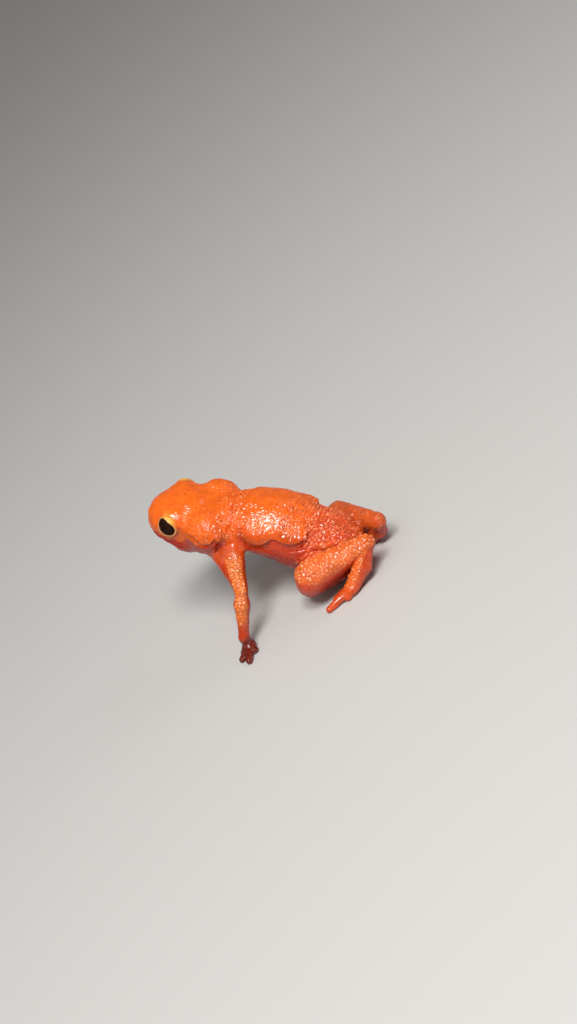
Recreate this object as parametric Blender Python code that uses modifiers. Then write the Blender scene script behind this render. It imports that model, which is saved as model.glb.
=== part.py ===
"""A pumpkin toadlet at life size, standing with its chest raised on straight arms.

The flesh is two kinds of smooth form: the body with its arms and thighs, and each lower leg
folded against it. A form is a set of eggs and tapered limbs, which Blender's voxel remesh joins
into one mesh. The points of that mesh are then moved onto the smooth blend of the eggs and limbs.
Thin cuts part it into head, torso and limb pieces, and the two eyes are balls in sockets.

Sizes are in millimetres and the finished meshes are scaled to metres. The toadlet faces -Y,
its left is +X, and the floor is at Z = 0.
"""

import math

import bmesh
import bpy
import numpy as np
from mathutils import Matrix, Vector

METRES = 0.001
GAP = 0.3
SIDES = (("left", 1), ("right", -1))

# The trunk's own axes lean back, as the chest is held high.
TRUNK_PITCH = math.radians(33)
TRUNK_HEIGHT = 5.05
HEAD_FORWARD = 8.0
HEAD_UP = -0.05

# Eyes, nostrils and mouth, along the head's axes
EYE_PLACE = (1.15, 2.15, 0.65)
EYE_LOOK = (0.32, 0.9, 0.25)
EYE_RADIUS = 0.9
LID_RADIUS = 1.25
LID_RISE = 0.1
UPPER_LID = (0, 180, 0.25)
LOWER_LID = (180, 360, 0.19)
LID_BARS = 8
NOSTRIL_PLACE = (3.2, 0.6, 0.35)
NOSTRIL_RADIUS = 0.16
MOUTH_BACK = -1.0
MOUTH_LENGTH = 4.2
MOUTH_HALF_WIDTH = 2.5
MOUTH_TIP_UP = -0.6
MOUTH_CORNER_UP = -1.15
MOUTH_TURN = 76
MOUTH_RADIUS = 0.12

# Joints of the limbs on the animal's left, in the row frame
WRIST = (6.7, -5.0, 1.3)
KNUCKLES = (6.75, -5.05, 0.42)
FINGERS = ((0.7, 40), (1.3, 70), (1.7, 102), (0.8, 138))
TOES = ((1.1, -8), (1.6, 16), (2.4, 38), (0.8, 64))
SUNK = 0.05

# Thin cuts between the pieces: where each lies and the radius of its disc
NECK_FORWARD = 4.9
NECK_CUT = 4.5
ARM_ROOT = 1.5
SHOULDER_CUT = 2.0
ELBOW_CUT = 1.2
WRIST_CUT = 0.9
HIP_CUT_PLACE = (-2.8, 2.75, -1.0)
HIP_CUT_WAY = (-0.35, 0.92, -0.15)
HIP_CUT = 3.6
ANKLE_STEP = 0.9
ANKLE_CUT = 2.2

# Mesh fineness
VOXEL = 0.14
BODY_SHARE = 0.11
LEG_SHARE = 0.14
EYE_SIDES = 20
SNAP_STEPS = 3
EASE_STEPS = 4
BLEND_REACH = 1.0


def pitched(forward, left, up):
    """A direction given along the trunk's nose-up axes, in the row frame."""
    cos, sin = math.cos(TRUNK_PITCH), math.sin(TRUNK_PITCH)
    return np.array((left, -forward * cos + up * sin, forward * sin + up * cos))


def trunk_point(forward, left, up):
    return pitched(forward, left, up) + np.array((0, 0, TRUNK_HEIGHT))


def head_point(forward, left, up):
    return trunk_point(HEAD_FORWARD + forward, left, HEAD_UP + up)


def unit(vector):
    return vector / np.linalg.norm(vector)


def touched(form, points):
    """Which points are close enough to a form for it to alter the blend."""
    away = np.linalg.norm(points - form.centre, axis=1)
    return away < form.reach + form.soft + BLEND_REACH


class Egg:
    """An ellipsoid. Its radii run along the trunk's axes, or along those of the row."""

    def __init__(self, centre, radii, soft, level=False):
        self.centre = np.array(centre, float)
        self.radii = np.array(radii, float)
        trunk = np.array((pitched(1, 0, 0), pitched(0, 1, 0), pitched(0, 0, 1)))
        self.axes = np.eye(3) if level else trunk
        self.reach = max(radii)
        self.soft = soft

    def distance(self, points):
        local = (points - self.centre) @ self.axes.T / self.radii
        near = np.linalg.norm(local, axis=1)
        slope = np.maximum(np.linalg.norm(local / self.radii, axis=1), 1e-9)
        return near * (near - 1) / slope

    def add_to(self, mesh, grow):
        turn = Matrix(self.axes.T.tolist()).to_4x4()
        shape = Matrix.Diagonal((*(self.radii + grow), 1))
        place = Matrix.Translation(Vector(self.centre)) @ turn @ shape
        bmesh.ops.create_uvsphere(mesh, u_segments=24, v_segments=12, radius=1, matrix=place)


class Limb:
    """A round bar from one point to another, tapering from one radius to the other."""

    def __init__(self, start, end, radii, soft):
        self.start, self.end = np.array(start, float), np.array(end, float)
        self.centre = (self.start + self.end) / 2
        self.radii = radii
        self.reach = np.linalg.norm(self.end - self.start) / 2 + max(radii)
        self.soft = soft

    def distance(self, points):
        along = self.end - self.start
        share = np.clip((points - self.start) @ along / (along @ along), 0, 1)
        radius = self.radii[0] + (self.radii[1] - self.radii[0]) * share
        return np.linalg.norm(points - self.start - share[:, None] * along, axis=1) - radius

    def add_to(self, mesh, grow):
        along = Vector(self.end - self.start)
        turn = along.to_track_quat("Z", "Y").to_matrix().to_4x4()
        middle = Matrix.Translation(Vector(self.start + self.end) / 2) @ turn
        radii = [radius + grow for radius in self.radii]
        bmesh.ops.create_cone(mesh, cap_ends=True, segments=16, radius1=radii[0],
                              radius2=radii[1], depth=along.length, matrix=middle)
        for point, radius in zip((self.start, self.end), radii):
            place = Matrix.Translation(Vector(point))
            bmesh.ops.create_uvsphere(mesh, u_segments=16, v_segments=8, radius=radius, matrix=place)


def trunk_forms():
    """Belly, chest and rump, with the two lobes of the back's shield that overhang each flank."""
    forms = [
        Egg(trunk_point(0.7, 0, 0.5), (3.2, 2.9, 2.5), 1.0),
        Egg(trunk_point(-1.4, 0, -0.5), (3.0, 2.9, 2.4), 1.0),
        Egg(trunk_point(3.2, 0, 0.5), (3.2, 2.5, 2.0), 1.5),
        Egg(trunk_point(-3.5, 0, -0.2), (2.3, 2.1, 1.85), 1.2),
    ]
    for _, side in SIDES:
        forms.append(Egg(trunk_point(2.0, side * 1.95, 1.1), (1.5, 1.0, 0.8), 0.3))
        forms.append(Egg(trunk_point(-0.6, side * 1.75, 1.1), (1.5, 1.0, 0.75), 0.3))
    return forms


def head_forms():
    """Skull, jaw, snout and throat, with the swellings round the eyes and behind the jaw."""
    forms = [
        Egg(head_point(-0.2, 0, 0.2), (3.3, 2.6, 1.9), 1.0),
        Egg(head_point(-0.3, 0, -0.8), (3.3, 2.7, 1.3), 0.8),
        Egg(head_point(1.6, 0, -0.1), (1.85, 2.05, 1.35), 0.8),
        Egg(head_point(-0.1, 0, -1.15), (1.8, 2.65, 1.5), 0.4),
    ]
    for _, side in SIDES:
        forms.append(Egg(head_point(-1.8, side * 2.0, 0.3), (1.75, 1.5, 1.8), 0.7))
        forms.append(Egg(head_point(1.0, side * 1.6, 0.6), (1.3, 1.15, 1.2), 0.5))
        forms += lid_forms(side)
    return forms


def eye_centre(side):
    forward, left, up = EYE_PLACE
    return head_point(forward, side * left, up)


def eye_axis(side):
    forward, left, up = EYE_LOOK
    return unit(pitched(forward, side * left, up))


def lid_forms(side):
    """The rims above and below an eye, each an arc of short bars across the way it looks."""
    axis = eye_axis(side)
    along = unit(np.cross(pitched(0, 0, 1), axis) * side)
    upward = unit(np.cross(axis, along) * side)
    centre = eye_centre(side) + LID_RISE * axis
    forms = []
    for start, stop, radius in (UPPER_LID, LOWER_LID):
        turns = np.radians(np.linspace(start, stop, LID_BARS + 1))
        ring = [centre + LID_RADIUS * (math.cos(turn) * along + math.sin(turn) * upward)
                for turn in turns]
        forms += [Limb(one, other, (radius, radius), 0.3) for one, other in zip(ring, ring[1:])]
    return forms


def mirrored(point, side):
    return np.array(point) * (side, 1, 1)


def digit_forms(root, side, digits, radii):
    """Digits on the floor that fan out from a root, each with its reach and its turn outward."""
    forms = []
    for reach, turn in digits:
        angle = math.radians(turn)
        tip = root + reach * np.array((side * math.sin(angle), -math.cos(angle), 0))
        tip[2] = radii[1] - SUNK
        forms.append(Limb(root, tip, radii, 0.15))
    return forms


def shoulder(side):
    return trunk_point(4.2, side * 1.9, -0.2)


def elbow(side):
    return trunk_point(2.75, side * 5.0, -2.5)


def arm_forms(side):
    chest = trunk_point(5.2, side * 1.8, -1.0)
    wrist, knuckles = mirrored(WRIST, side), mirrored(KNUCKLES, side)
    muscle = elbow(side) + 0.3 * (wrist - elbow(side))
    forms = [
        Limb(shoulder(side), elbow(side), (0.9, 0.45), 0.4),
        Limb(chest, elbow(side), (1.2, 0.42), 0.5),
        Limb(elbow(side), muscle, (0.45, 0.62), 0.2),
        Limb(muscle, wrist, (0.62, 0.38), 0.2),
        Limb(wrist, knuckles, (0.4, 0.45), 0.3),
        Egg(knuckles, (0.62, 0.55, 0.42), 0.2, level=True),
    ]
    return forms + digit_forms(knuckles, side, FINGERS, (0.36, 0.27))


def hip(side):
    return trunk_point(-4.3, side * 1.3, -1.1)


def shank_top(side):
    """The upper end of the shank, which the right leg has further back."""
    return trunk_point(-2.6, 3.8, -1.05) if side > 0 else trunk_point(-3.2, -3.9, -1.1)


def knee(side):
    return shank_top(side) + pitched(0.2, side * -0.5, -1.05)


def thigh_forms(side):
    return [Limb(hip(side), knee(side), (1.6, 1.15), 0.6)]


def heel(side):
    back = -6.3 if side > 0 else -6.7
    return trunk_point(back, side * 1.35, 1.1)


def sole(side):
    """The ball of the foot, which the right foot has further in under the rump."""
    return np.array((3.6, 3.9, 0.5)) if side > 0 else np.array((-2.2, 4.4, 0.5))


def lower_leg_forms(side):
    """The shank, the tarsus with its bulge to the back, and the foot."""
    thick = 1.35 if side > 0 else 1.1
    bulge = (heel(side) + sole(side)) / 2 + pitched(-0.3, 0, 0)
    forms = [
        Limb(shank_top(side), heel(side), (thick, 0.68), 0.3),
        Limb(heel(side), bulge, (0.64, 0.72), 0.12),
        Limb(bulge, sole(side), (0.72, 0.56), 0.12),
        Egg(sole(side), (0.72, 0.66, 0.48), 0.2, level=True),
    ]
    return forms + digit_forms(sole(side), side, TOES, (0.4, 0.28))


def body_forms():
    forms = trunk_forms() + head_forms()
    for _, side in SIDES:
        forms += arm_forms(side) + thigh_forms(side)
    return forms


def blend(first, second, soft):
    """The smooth union of two distances."""
    share = np.clip(0.5 + 0.5 * (first - second) / soft, 0, 1)
    return first * (1 - share) + second * share - soft * share * (1 - share)


def flesh_distance(forms, points):
    found = forms[0].distance(points)
    for form in forms[1:]:
        close = touched(form, points)
        found[close] = blend(found[close], form.distance(points[close]), form.soft)
    return found


def flesh_slope(forms, points, step=0.01):
    slope = np.empty_like(points)
    for axis in range(3):
        shift = np.zeros(3)
        shift[axis] = step
        ahead = flesh_distance(forms, points + shift)
        behind = flesh_distance(forms, points - shift)
        slope[:, axis] = (ahead - behind) / (2 * step)
    return slope


def snap(forms, points, level=0.0):
    """Points moved onto the surface of the blended forms, or that far outside it."""
    for _ in range(SNAP_STEPS):
        slope = flesh_slope(forms, points)
        steep = np.maximum((slope * slope).sum(axis=1), 0.2)
        move = (flesh_distance(forms, points) - level) / steep
        points = points - slope * np.clip(move, -0.3, 0.3)[:, None]
    return points


def new_object(name, mesh):
    """An object in the scene from a bmesh, which is freed."""
    data = bpy.data.meshes.new(name)
    mesh.to_mesh(data)
    mesh.free()
    thing = bpy.data.objects.new(name, data)
    bpy.context.scene.collection.objects.link(thing)
    return thing


def remove(thing):
    bpy.data.objects.remove(thing, do_unlink=True)


def apply_modifiers(thing):
    graph = bpy.context.evaluated_depsgraph_get()
    data = bpy.data.meshes.new_from_object(thing.evaluated_get(graph))
    thing.modifiers.clear()
    thing.data = data


def snap_mesh(thing, forms, level):
    points = np.empty(len(thing.data.vertices) * 3, np.float32)
    thing.data.vertices.foreach_get("co", points)
    points = snap(forms, points.reshape(-1, 3).astype(float), level)
    thing.data.vertices.foreach_set("co", points.astype(np.float32).ravel())
    thing.data.update()


def flesh_mesh(name, forms, voxel, share, grow=0.0):
    """The forms fused by a voxel remesh, snapped to their smooth blend and thinned out."""
    mesh = bmesh.new()
    for form in forms:
        form.add_to(mesh, grow)
    flesh = new_object(name, mesh)
    fuse = flesh.modifiers.new("fuse", "REMESH")
    fuse.mode = "VOXEL"
    fuse.voxel_size = voxel
    apply_modifiers(flesh)
    snap_mesh(flesh, forms, grow)
    ease = flesh.modifiers.new("ease", "SMOOTH")
    ease.factor = 0.5
    ease.iterations = EASE_STEPS
    apply_modifiers(flesh)
    snap_mesh(flesh, forms, grow)
    thin = flesh.modifiers.new("thin", "DECIMATE")
    thin.ratio = share
    apply_modifiers(flesh)
    return flesh


def cut(thing, cutter):
    """Takes the cutter's volume away, and the cutter with it."""
    away = thing.modifiers.new("cut", "BOOLEAN")
    away.operation = "DIFFERENCE"
    away.solver = "EXACT"
    away.object = cutter
    apply_modifiers(thing)
    remove(cutter)


def ball(centre, radius, segments):
    mesh = bmesh.new()
    place = Matrix.Translation(Vector(centre))
    bmesh.ops.create_uvsphere(mesh, u_segments=segments, v_segments=segments // 2,
                              radius=radius, matrix=place)
    return new_object("ball", mesh)


def disc(centre, normal, radius):
    """A thin round cutter across the given direction."""
    turn = Vector(normal).to_track_quat("Z", "Y").to_matrix().to_4x4()
    mesh = bmesh.new()
    bmesh.ops.create_cone(mesh, cap_ends=True, segments=32, radius1=radius, radius2=radius,
                          depth=GAP, matrix=Matrix.Translation(Vector(centre)) @ turn)
    return new_object("disc", mesh)


def loose_pieces(thing):
    """The separate closed surfaces of an object, as new objects, largest first."""
    whole = bmesh.new()
    whole.from_mesh(thing.data)
    whole.verts.ensure_lookup_table()
    seen, groups = set(), []
    for start in whole.verts:
        if start.index in seen:
            continue
        group, waiting = {start.index}, [start]
        while waiting:
            for edge in waiting.pop().link_edges:
                for end in edge.verts:
                    if end.index not in group:
                        group.add(end.index)
                        waiting.append(end)
        seen |= group
        groups.append(group)
    pieces = []
    for group in groups:
        copy = whole.copy()
        others = [point for point in copy.verts if point.index not in group]
        bmesh.ops.delete(copy, geom=others, context="VERTS")
        pieces.append((copy.calc_volume(), copy))
    whole.free()
    pieces.sort(key=lambda pair: -pair[0])
    return [new_object(thing.name, mesh) for _, mesh in pieces]


def largest(thing):
    pieces = loose_pieces(thing)
    for scrap in pieces[1:]:
        remove(scrap)
    remove(thing)
    return pieces[0]


def parted(thing, cutter, anchor):
    """Cuts a piece in two, and returns the piece nearest the anchor and the other one."""
    cut(thing, cutter)
    pieces = loose_pieces(thing)
    remove(thing)
    for scrap in pieces[2:]:
        remove(scrap)
    pieces = pieces[:2]

    def away(piece):
        points = np.empty(len(piece.data.vertices) * 3, np.float32)
        piece.data.vertices.foreach_get("co", points)
        return np.linalg.norm(points.reshape(-1, 3).mean(axis=0) - anchor)

    pieces.sort(key=away)
    return pieces


def floor_cutter():
    mesh = bmesh.new()
    size = Matrix.Diagonal((40, 40, 4, 1))
    bmesh.ops.create_cube(mesh, size=1, matrix=Matrix.Translation((0, 0, -2)) @ size)
    return new_object("below_floor", mesh)


def mouth_cutter(forms):
    """A thin tube along the line between the lips, from one corner to the other."""
    turns = np.radians(np.linspace(-MOUTH_TURN, MOUTH_TURN, 21))
    guess = [head_point(MOUTH_BACK + MOUTH_LENGTH * math.cos(turn),
                        MOUTH_HALF_WIDTH * math.sin(turn),
                        MOUTH_CORNER_UP + (MOUTH_TIP_UP - MOUTH_CORNER_UP) * math.cos(turn / 1.1))
             for turn in turns]
    line = snap(forms, np.array(guess))
    path = bpy.data.curves.new("mouth_line", "CURVE")
    path.dimensions = "3D"
    path.bevel_depth = MOUTH_RADIUS
    path.bevel_resolution = 1
    path.use_fill_caps = True
    spline = path.splines.new("POLY")
    spline.points.add(len(line) - 1)
    for point, place in zip(spline.points, line):
        point.co = (*place, 1)
    tube = bpy.data.objects.new("mouth_line", path)
    bpy.context.scene.collection.objects.link(tube)
    graph = bpy.context.evaluated_depsgraph_get()
    mesh = bmesh.new()
    mesh.from_mesh(bpy.data.meshes.new_from_object(tube.evaluated_get(graph)))
    remove(tube)
    bmesh.ops.remove_doubles(mesh, verts=mesh.verts, dist=0.001)
    bmesh.ops.recalc_face_normals(mesh, faces=mesh.faces)
    return new_object("mouth_line", mesh)


def face_cuts(head, forms):
    """Eye sockets, nostrils and the line of the mouth."""
    for _, side in SIDES:
        cut(head, ball(eye_centre(side), EYE_RADIUS + GAP, EYE_SIDES))
        forward, left, up = NOSTRIL_PLACE
        nostril = snap(forms, head_point(forward, side * left, up)[None])[0]
        cut(head, ball(nostril, NOSTRIL_RADIUS, 10))
    cut(head, mouth_cutter(forms))
    return largest(head)


def arm_pieces(body, side):
    """The upper arm, forearm and hand on one side, and what is left of the body."""
    joint, wrist = elbow(side), mirrored(WRIST, side)
    upper, lower = unit(joint - shoulder(side)), unit(wrist - joint)
    root = shoulder(side) + ARM_ROOT * upper
    arm, body = parted(body, disc(root, upper, SHOULDER_CUT), joint)
    upper_arm, arm = parted(arm, disc(joint, upper + lower, ELBOW_CUT), root)
    forearm, hand = parted(arm, disc(wrist, lower, WRIST_CUT), joint)
    return upper_arm, forearm, hand, body


def leg_pieces(body, side):
    """The thigh, shank and foot on one side, and what is left of the body."""
    forms = lower_leg_forms(side)
    leg = flesh_mesh("leg", forms, VOXEL, LEG_SHARE)
    cut(body, flesh_mesh("leg_room", forms, 1.5 * VOXEL, LEG_SHARE, GAP))
    body = largest(body)
    forward, left, up = HIP_CUT_WAY
    beside = pitched(forward, side * left, up)
    forward, left, up = HIP_CUT_PLACE
    root = trunk_point(forward, side * left, up)
    thigh, body = parted(body, disc(root, beside, HIP_CUT), knee(side))
    shank_way = unit(shank_top(side) - heel(side))
    foot_way = unit(sole(side) - heel(side))
    middle = unit(shank_way + foot_way)
    mitre = disc(heel(side) + ANKLE_STEP * middle, foot_way - shank_way, ANKLE_CUT)
    shank, foot = parted(leg, mitre, shank_top(side))
    return thigh, shank, foot, body


def material(name, colour, roughness):
    """A plain skin or eye finish. The colour is given as 0 to 255 in each channel."""
    skin = bpy.data.materials.new(name)
    skin.use_nodes = True
    shader = skin.node_tree.nodes["Principled BSDF"]
    linear = [(channel / 255) ** 2.2 for channel in colour]
    shader.inputs["Base Color"].default_value = (*linear, 1)
    shader.inputs["Roughness"].default_value = roughness
    shader.inputs["Metallic"].default_value = 0
    return skin


COLOURS = {
    "head": (244, 118, 51),
    "torso": (239, 129, 66),
    "upper_arm": (214, 92, 44),
    "forearm": (235, 139, 82),
    "hand": (167, 69, 26),
    "thigh": (212, 88, 42),
    "shank": (241, 140, 90),
    "foot": (190, 88, 38),
}


def finish(pieces):
    """Names, colours, metres, and the origin at the middle of the box's underside."""
    low = np.min([np.min([point.co for point in thing.data.vertices], axis=0)
                  for thing in pieces.values()], axis=0)
    high = np.max([np.max([point.co for point in thing.data.vertices], axis=0)
                   for thing in pieces.values()], axis=0)
    middle = Vector(((low[0] + high[0]) / 2, (low[1] + high[1]) / 2, low[2]))
    toadlet = bpy.data.collections.new("pumpkin_toadlet")
    bpy.context.scene.collection.children.link(toadlet)
    place = Matrix.Scale(METRES, 4) @ Matrix.Translation(-middle)
    for name, thing in pieces.items():
        thing.name = name
        thing.data.transform(place)
        thing.data.shade_smooth()
        thing.data.set_sharp_from_angle(angle=math.radians(40))
        kind = name.rsplit("_", 1)[0]
        if kind == "eye":
            finish_of = material(name, (14, 8, 6), 0.08)
        else:
            finish_of = material(name, COLOURS.get(kind, COLOURS.get(name)), 0.4)
        thing.data.materials.clear()
        thing.data.materials.append(finish_of)
        bpy.context.scene.collection.objects.unlink(thing)
        toadlet.objects.link(thing)


def main():
    for thing in list(bpy.data.objects):
        remove(thing)
    forms = body_forms()
    body = flesh_mesh("body", forms, VOXEL, BODY_SHARE)
    pieces = {}
    for name, side in SIDES:
        upper_arm, forearm, hand, body = arm_pieces(body, side)
        thigh, shank, foot, body = leg_pieces(body, side)
        for thing in (hand, foot):
            cut(thing, floor_cutter())
        pieces["upper_arm_" + name] = upper_arm
        pieces["forearm_" + name] = forearm
        pieces["hand_" + name] = hand
        pieces["thigh_" + name] = thigh
        pieces["shank_" + name] = shank
        pieces["foot_" + name] = foot
        pieces["eye_" + name] = ball(eye_centre(side), EYE_RADIUS, EYE_SIDES)
    neck = trunk_point(NECK_FORWARD, 0, 0)
    head, torso = parted(body, disc(neck, pitched(1, 0, 0), NECK_CUT), head_point(0, 0, 0))
    pieces["head"] = face_cuts(head, forms)
    pieces["torso"] = torso
    finish(pieces)


if __name__ == "__main__":
    main()
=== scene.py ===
"""Skin, eyes, floor, light and camera for the pumpkin toadlet.

One skin stands for all the flesh nodes. It is built in millimetres from the same eggs and limbs as
the solids, on the trunk's nose-up axes. Lids, lips, nostrils, the shield of the back, folds and
granules are raised on it, and it is then moved onto the solids and scaled to metres.
"""

import math

import bmesh
import bpy
import numpy as np
from mathutils import Matrix, Vector
from mathutils.kdtree import KDTree


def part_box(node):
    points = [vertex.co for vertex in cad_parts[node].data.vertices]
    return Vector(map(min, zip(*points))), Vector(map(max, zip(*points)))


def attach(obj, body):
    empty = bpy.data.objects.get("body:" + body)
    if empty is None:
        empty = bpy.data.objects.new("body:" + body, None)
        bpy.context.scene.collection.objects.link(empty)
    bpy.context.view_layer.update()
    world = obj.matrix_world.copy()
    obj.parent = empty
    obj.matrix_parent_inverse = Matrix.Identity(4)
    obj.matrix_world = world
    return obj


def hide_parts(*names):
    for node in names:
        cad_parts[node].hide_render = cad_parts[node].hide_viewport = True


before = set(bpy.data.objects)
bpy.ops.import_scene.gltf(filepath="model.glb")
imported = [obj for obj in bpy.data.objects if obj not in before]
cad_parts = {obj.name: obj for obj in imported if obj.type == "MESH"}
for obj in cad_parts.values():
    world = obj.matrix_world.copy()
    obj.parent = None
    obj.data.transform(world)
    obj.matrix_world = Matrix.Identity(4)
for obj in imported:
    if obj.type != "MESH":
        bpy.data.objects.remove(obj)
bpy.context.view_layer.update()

METRES = 0.001
SIDES = (("left", 1), ("right", -1))
FLESH = ("head", "torso") + tuple(
    part + "_" + name
    for part in ("upper_arm", "forearm", "hand", "thigh", "shank", "foot")
    for name, _ in SIDES)

# The trunk's axes and the head's place on them
TRUNK_PITCH = math.radians(33)
TRUNK_HEIGHT = 5.05
HEAD_FORWARD = 8.0
HEAD_UP = -0.05

# Eggs that the trunk and head are blended from, as place, radii and softness. Bulges are also mirrored.
TRUNK_EGGS = {
    "ribs": ((0.7, 0, 0.5), (3.2, 2.9, 2.5), 1.0),
    "belly": ((-1.4, 0, -0.5), (3.0, 2.9, 2.4), 1.0),
    "shoulders": ((3.2, 0, 0.5), (3.2, 2.5, 2.0), 1.5),
    "rump": ((-3.5, 0, -0.2), (2.3, 2.1, 1.85), 1.2),
}
TRUNK_BULGES = {
    "front of the shield": ((2.0, 1.95, 1.1), (1.5, 1.0, 0.8), 0.3),
    "rear of the shield": ((-0.6, 1.75, 1.1), (1.5, 1.0, 0.75), 0.3),
}
HEAD_EGGS = {
    "skull": ((-0.2, 0, 0.2), (3.3, 2.6, 1.9), 1.0),
    "jaw": ((-0.3, 0, -0.8), (3.3, 2.7, 1.3), 0.8),
    "snout": ((1.6, 0, -0.1), (1.85, 2.05, 1.35), 0.8),
    "throat": ((-0.1, 0, -1.15), (1.8, 2.65, 1.5), 0.4),
}
HEAD_BULGES = {
    "cheek pad": ((-1.8, 2.0, 0.3), (1.75, 1.5, 1.8), 0.7),
    "brow": ((1.0, 1.6, 0.6), (1.3, 1.15, 1.2), 0.5),
}

# Left eye, as forward, left and up from the head's place. The slant runs along the opening of the lids.
EYE_PLACE = (1.15, 2.15, 0.65)
EYE_LOOK = (0.32, 0.9, 0.25)
EYE_RADIUS = 0.9
EYE_SLANT = (-0.88, 0.405, -0.33)
EYE_OPENING = (0.95, 0.62)
LID_SQUARENESS = 2.6
LID_REACH = 2.6
LID_RISE = 0.07
LID_SINK = 0.14
GOLD_PLACE = (-0.1, 0.78)
GOLD_SIZE = (0.55, 0.26)

# Rings round an eye's opening, which is 1: where the lid rises, where its rim is, and where it ends
LID_FOOT = 0.93
LID_TOP = 1.05
LID_FADE = 1.1
LID_END = 1.6
RIM_RING = 1.06
RIM_WIDTH = 0.055

# Nostrils and mouth, from the head's place
NOSTRIL_PLACE = (3.2, 0.6, 0.35)
MOUTH_BACK = -1.0
MOUTH_LENGTH = 4.2
MOUTH_HALF_WIDTH = 2.5
MOUTH_TIP_UP = -0.6
MOUTH_CORNER_UP = -1.15
MOUTH_TURN = 76

# The left arm: root, chest muscle and elbow on the trunk's axes, wrist and knuckles in the row frame
SHOULDER = (4.2, 1.9, -0.2)
CHEST = (5.2, 1.8, -1.0)
ELBOW = (2.75, 5.0, -2.5)
WRIST = (6.7, -5.0, 1.3)
KNUCKLES = (6.75, -5.05, 0.42)

# Hind legs by side, on the trunk's axes apart from the soles. The right one is folded farther back.
HIP = (-4.3, 1.3, -1.1)
SHANK_TOPS = {1: (-2.6, 3.8, -1.05), -1: (-3.2, 3.9, -1.1)}
HEELS = {1: (-6.3, 1.35, 1.1), -1: (-6.7, 1.35, 1.1)}
SOLES = {1: (3.6, 3.9, 0.5), -1: (2.2, 4.4, 0.5)}
SHANK_RADII = {1: (1.35, 0.68), -1: (1.1, 0.68)}

# Digits, as length and degrees turned outward from straight ahead. Their soft undersides sink a little.
FINGERS = ((0.7, 40), (1.3, 70), (1.7, 102), (0.8, 138))
FINGER_RADII = (0.36, 0.27)
TOES = ((1.1, -8), (1.6, 16), (2.4, 38), (0.8, 64))
TOE_RADII = (0.4, 0.28)
SUNK = 0.05

# Border of the back's shield, as forward place and degrees down from the midline
SHIELD = ((3.55, 0), (3.5, 45), (3.35, 70), (2.9, 82), (2.3, 86), (1.5, 82), (0.75, 72),
          (0.1, 76), (-0.8, 76), (-1.5, 69), (-1.8, 58), (-1.5, 42), (-1.2, 18), (-1.1, 0))
SHIELD_GIRTH = 2.6

# Stretches of the trunk, as the forward places where each starts, is full, begins to fade and ends
NECK = (1.9, 3.2, 5.0, 6.2)
SPINE = (-1.5, -1.0, 2.6, 3.6)
PLEATED = (-1.6, -1.0, 2.6, 3.2)

# Folds of the left side, on the trunk's axes
FOLDS = {
    "above the thigh": ((-2.3, 2.75, 0.6), (-3.3, 2.3, 0.6), (-4.2, 1.8, 0.7)),
    "across the neck": ((4.6, 0.6, 2.4), (4.3, 1.5, 2.0), (4.4, 2.4, 1.2)),
    "behind the cheek pad": ((5.3, 3.2, 0.7), (5.0, 3.0, 0.0), (5.2, 2.9, -0.6)),
    "under the cheek pad": ((6.75, 3.35, 0.6), (6.45, 3.45, 0.15), (5.8, 3.45, 0.2), (5.35, 3.25, 0.5)),
}

# Heights of the relief
SHIELD_RISE = 0.12
SPINE_RISE = 0.06
PLEAT_RISE = 0.1
LIP_RISE = 0.05
MOUTH_DEPTH = 0.1
FOLD_RISE = 0.05
FOLD_DEPTH = 0.08
NOSTRIL_RISE = 0.05
NOSTRIL_DEPTH = 0.2
SWELL_RISE = 0.015
RIPPLE_RISE = 0.006
GRANULE_RISE = 0.12
PLAIN_GRAIN = 0.006
SHIELD_GRAIN = 0.035
CHEEK_GRAIN = 0.02
PIT_DEPTH = 0.003

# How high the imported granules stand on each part's smoothest skin, and what its rough stretches add
SMOOTH = {"trunk": 0.1, "shield": 0.15, "head": 0.08, "arm": 0.15, "thigh": 0.25, "leg": 0.1}
ADDED = {"rump": 0.9, "neck": 0.5, "shield_rear": 0.3, "nape": 0.4, "cheek": 0.22, "streak": 0.7}
ADDED_ON_SHANK = {1: 0.8, -1: 0.3}

# Spacing of the granules and of the finer grains, and the way the granules lie along the trunk
GRANULE_SPACING = 0.34
GRAIN_SPACING = 0.26
GRANULE_LIE = (-0.65, 0, 0.76)

# Ways that the granular sides of the left limbs face, in the row frame
ARM_OUT = (0.8, 0.35, 0.5)
SHANK_UP = (-0.652, 0.2785, 0.7053)
TARSUS_FRONT = (0.225, -0.817, 0.53)

# Upper border of the dark jaw, as forward and up from the head's place
JAW_BORDER = ((-2.65, 0.5), (-2.2, 0.25), (-1.55, 0.2), (-0.9, 0.05), (0.2, -0.45))

# Camera: degrees above and turned from the trunk's side, distance, and the photo's scale and middle
CAMERA_RISE = 42
CAMERA_TURN = 13
CAMERA_DISTANCE = 130.0
PIXELS_PER_MM = 12.7
PHOTO_HEIGHT = 1024
MIDDLE_RIGHT = -1.5
MIDDLE_UP = 18
SENSOR = 36

# Disk lamps, as name, way from the animal, distance and width in metres, and power
LAMPS = (
    ("key_back", (0.35, 0.43, 0.84), 0.22, 0.06, 0.26),
    ("key_side", (0.5, 0.22, 0.84), 0.22, 0.06, 0.26),
    ("rim", (-0.6, 0.7, 0.6), 0.3, 0.12, 0.06),
)
LAMP_TARGET = Vector((0, 0, 0.005))
FILL_POWER = 0.3
FILL_SPREAD = 50
FILL_TURN = (35, 0, 60)
SKY_POWER = 0.18
SKY_TONE = (1.0, 0.98, 0.95, 1)
FLOOR_TONE = (0.56, 0.545, 0.525, 1)
FLOOR_ROUGHNESS = 0.6
FLOOR_HALF_WIDTH = 3

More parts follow.
